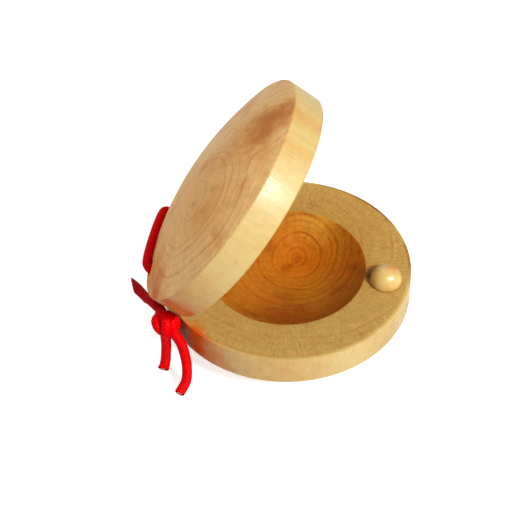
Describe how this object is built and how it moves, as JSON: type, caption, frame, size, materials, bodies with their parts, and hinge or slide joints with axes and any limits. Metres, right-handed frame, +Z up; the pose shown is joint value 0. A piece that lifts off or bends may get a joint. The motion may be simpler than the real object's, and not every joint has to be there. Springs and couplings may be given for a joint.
{
  "type": "castanets",
  "caption": "Round turned-wood hand castanets: bevelled shells rock open and shut on an elastic cord, with a button-shaped striker peg on the lower rim.",
  "frame": {"origin": "centre of the flat the lower shell rests on", "axes": "+Z up through the lower shell, +X from the rocking edge to the striker peg, rocking axis along Y"},
  "size_m": [0.0617, 0.0584, 0.0557],
  "materials": {
    "shell_wood": "clear lacquer outside, finely sanded inner face, lightly polished bowl",
    "peg_wood": "glossy clear lacquer",
    "red_braid": "satin braided sheath",
    "pale_rubber": "matte"
  },
  "bodies": {
    "lower_half": {"lower_shell": "shell_wood", "striker_peg": "peg_wood", "lower_near_leg_sheath": "red_braid", "lower_near_leg_core": "pale_rubber", "lower_far_leg_sheath": "red_braid", "lower_far_leg_core": "pale_rubber"},
    "upper_half": {"upper_shell": "shell_wood", "upper_near_leg_sheath": "red_braid", "upper_near_leg_core": "pale_rubber", "upper_far_leg_sheath": "red_braid", "upper_far_leg_core": "pale_rubber"},
    "upper_loop": {"upper_loop_sheath": "red_braid", "upper_loop_core": "pale_rubber"},
    "lower_loop": {"near_strand_sheath": "red_braid", "near_strand_core": "pale_rubber", "bight_sheath": "red_braid", "bight_core": "pale_rubber", "knot": "red_braid"},
    "short_tail": {"short_tail_sheath": "red_braid", "short_tail_core": "pale_rubber"},
    "long_tail": {"long_tail_sheath": "red_braid", "long_tail_core": "pale_rubber"}
  },
  "joints": [
    {"name": "shell_rock", "type": "hinge", "parent": "lower_half", "child": "upper_half", "pos_m": [-0.021, 0, 0.01211], "axis": [0, 1, 0], "range_deg": [0, 48.5], "stiffness_Nm_per_rad": 0.08},
    {"name": "upper_loop_swing", "type": "hinge", "parent": "upper_half", "child": "upper_loop", "pos_m": [-0.02876, 0, 0.01549], "axis": [0, 1, 0], "range_deg": [-50, 20], "stiffness_Nm_per_rad": 0.0002},
    {"name": "lower_loop_swing", "type": "hinge", "parent": "lower_half", "child": "lower_loop", "pos_m": [-0.0228, 0, 0.00384], "axis": [0, 1, 0], "range_deg": [-30, 0], "stiffness_Nm_per_rad": 0.0008},
    {"name": "short_tail_swing", "type": "hinge", "parent": "lower_loop", "child": "short_tail", "pos_m": [-0.0226, -0.0219, 0.00891], "axis": [1, 0, 0], "range_deg": [-50, 12], "stiffness_Nm_per_rad": 0.0002},
    {"name": "long_tail_swing", "type": "hinge", "parent": "lower_loop", "child": "long_tail", "pos_m": [-0.0201, -0.0223, 0.00991], "axis": [1, 0, 0], "range_deg": [-50, 8], "stiffness_Nm_per_rad": 0.0002}
  ]
}
